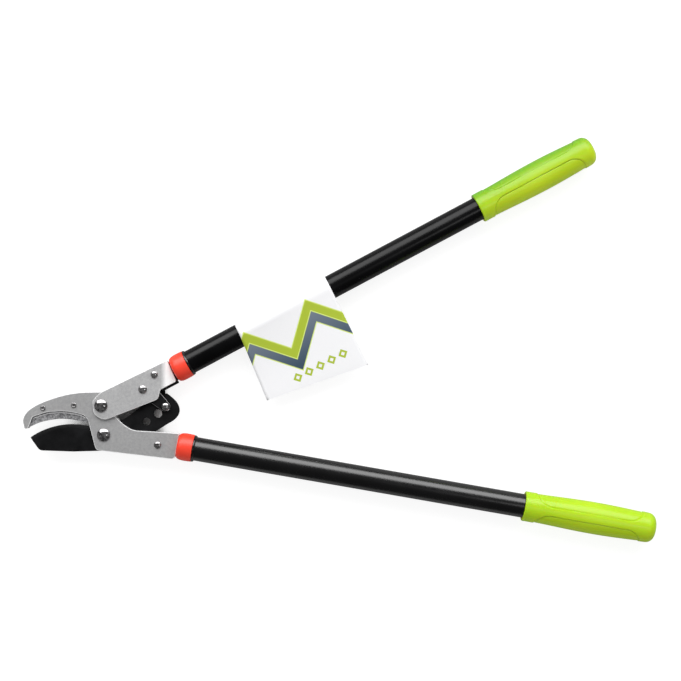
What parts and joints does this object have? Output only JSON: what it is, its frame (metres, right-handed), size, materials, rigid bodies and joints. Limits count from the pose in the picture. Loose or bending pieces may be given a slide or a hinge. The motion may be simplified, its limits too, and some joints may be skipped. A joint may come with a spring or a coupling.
{
  "type": "anvil lopper",
  "caption": "Two-handed anvil lopper with a compound-action blade, tubular handles, vinyl grips and a card sleeve.",
  "frame": {"origin": "on the axis of the upper handle's pivot, on the flat rear face of its rivet", "axes": "+X from the jaw towards the grips, along the middle of the open handles; +Y towards the upper handle; +Z towards the front, across the flat tool"},
  "size_m": [0.6966, 0.4457, 0.0338],
  "materials": {
    "satin_steel": "satin, fine even grain",
    "polished_rivet": "polished",
    "anvil_metal": "dull, finely ribbed",
    "black_blade_coat": "semi-matte non-stick coat",
    "black_paint": "satin powder coat",
    "orange_red_plastic": "semi-gloss",
    "lime_vinyl": "soft semi-gloss vinyl",
    "printed_card": null
  },
  "bodies": {
    "lower_handle": {"anvil_cheek_front": "satin_steel", "anvil_cheek_rear": "satin_steel", "anvil_insert": "anvil_metal", "anvil_rivet_tip": "polished_rivet", "anvil_rivet_heel": "polished_rivet", "blade_pivot_rivet": "polished_rivet", "handle_pivot_rivet": "polished_rivet", "handle_pivot_spacer": "satin_steel", "lower_tang_rivet": "polished_rivet", "lower_tang": "black_paint", "lower_tube": "black_paint", "lower_collar": "orange_red_plastic", "lower_end_ring": "black_paint", "lower_grip": "lime_vinyl"},
    "upper_handle": {"upper_plate_front": "satin_steel", "upper_plate_rear": "satin_steel", "upper_tang": "black_paint", "upper_tang_washer_front": "satin_steel", "upper_tang_washer_rear": "satin_steel", "upper_tang_rivet": "polished_rivet", "link_rivet": "polished_rivet", "link_spacer": "satin_steel", "upper_tube": "black_paint", "upper_collar": "orange_red_plastic", "upper_end_ring": "black_paint", "upper_grip": "lime_vinyl", "card_sleeve": "printed_card"},
    "link": {"link_plate_front": "black_blade_coat", "link_plate_rear": "black_blade_coat", "blade_link_rivet": "polished_rivet"},
    "blade": {"blade": "black_blade_coat"}
  },
  "joints": [
    {"name": "handle_pivot", "type": "hinge", "parent": "lower_handle", "child": "upper_handle", "pos_m": [0, 0, 0.0115], "axis": [0, 0, 1], "range_deg": [-11.5, 50]},
    {"name": "blade_pivot", "type": "hinge", "parent": "lower_handle", "child": "blade", "pos_m": [0.0024, -0.0323, 0.0115], "axis": [0, 0, 1], "range_deg": [-7.6, 33.1]},
    {"name": "link_pivot", "type": "hinge", "parent": "upper_handle", "child": "link", "pos_m": [0.0458, 0.0179, 0.0115], "axis": [0, 0, 1], "range_deg": [-45.6, 10.5]}
  ],
  "couplings": [
    {"joint": "blade_pivot", "follows": "handle_pivot", "ratio": 0.66},
    {"joint": "link_pivot", "follows": "handle_pivot", "ratio": -0.91}
  ]
}
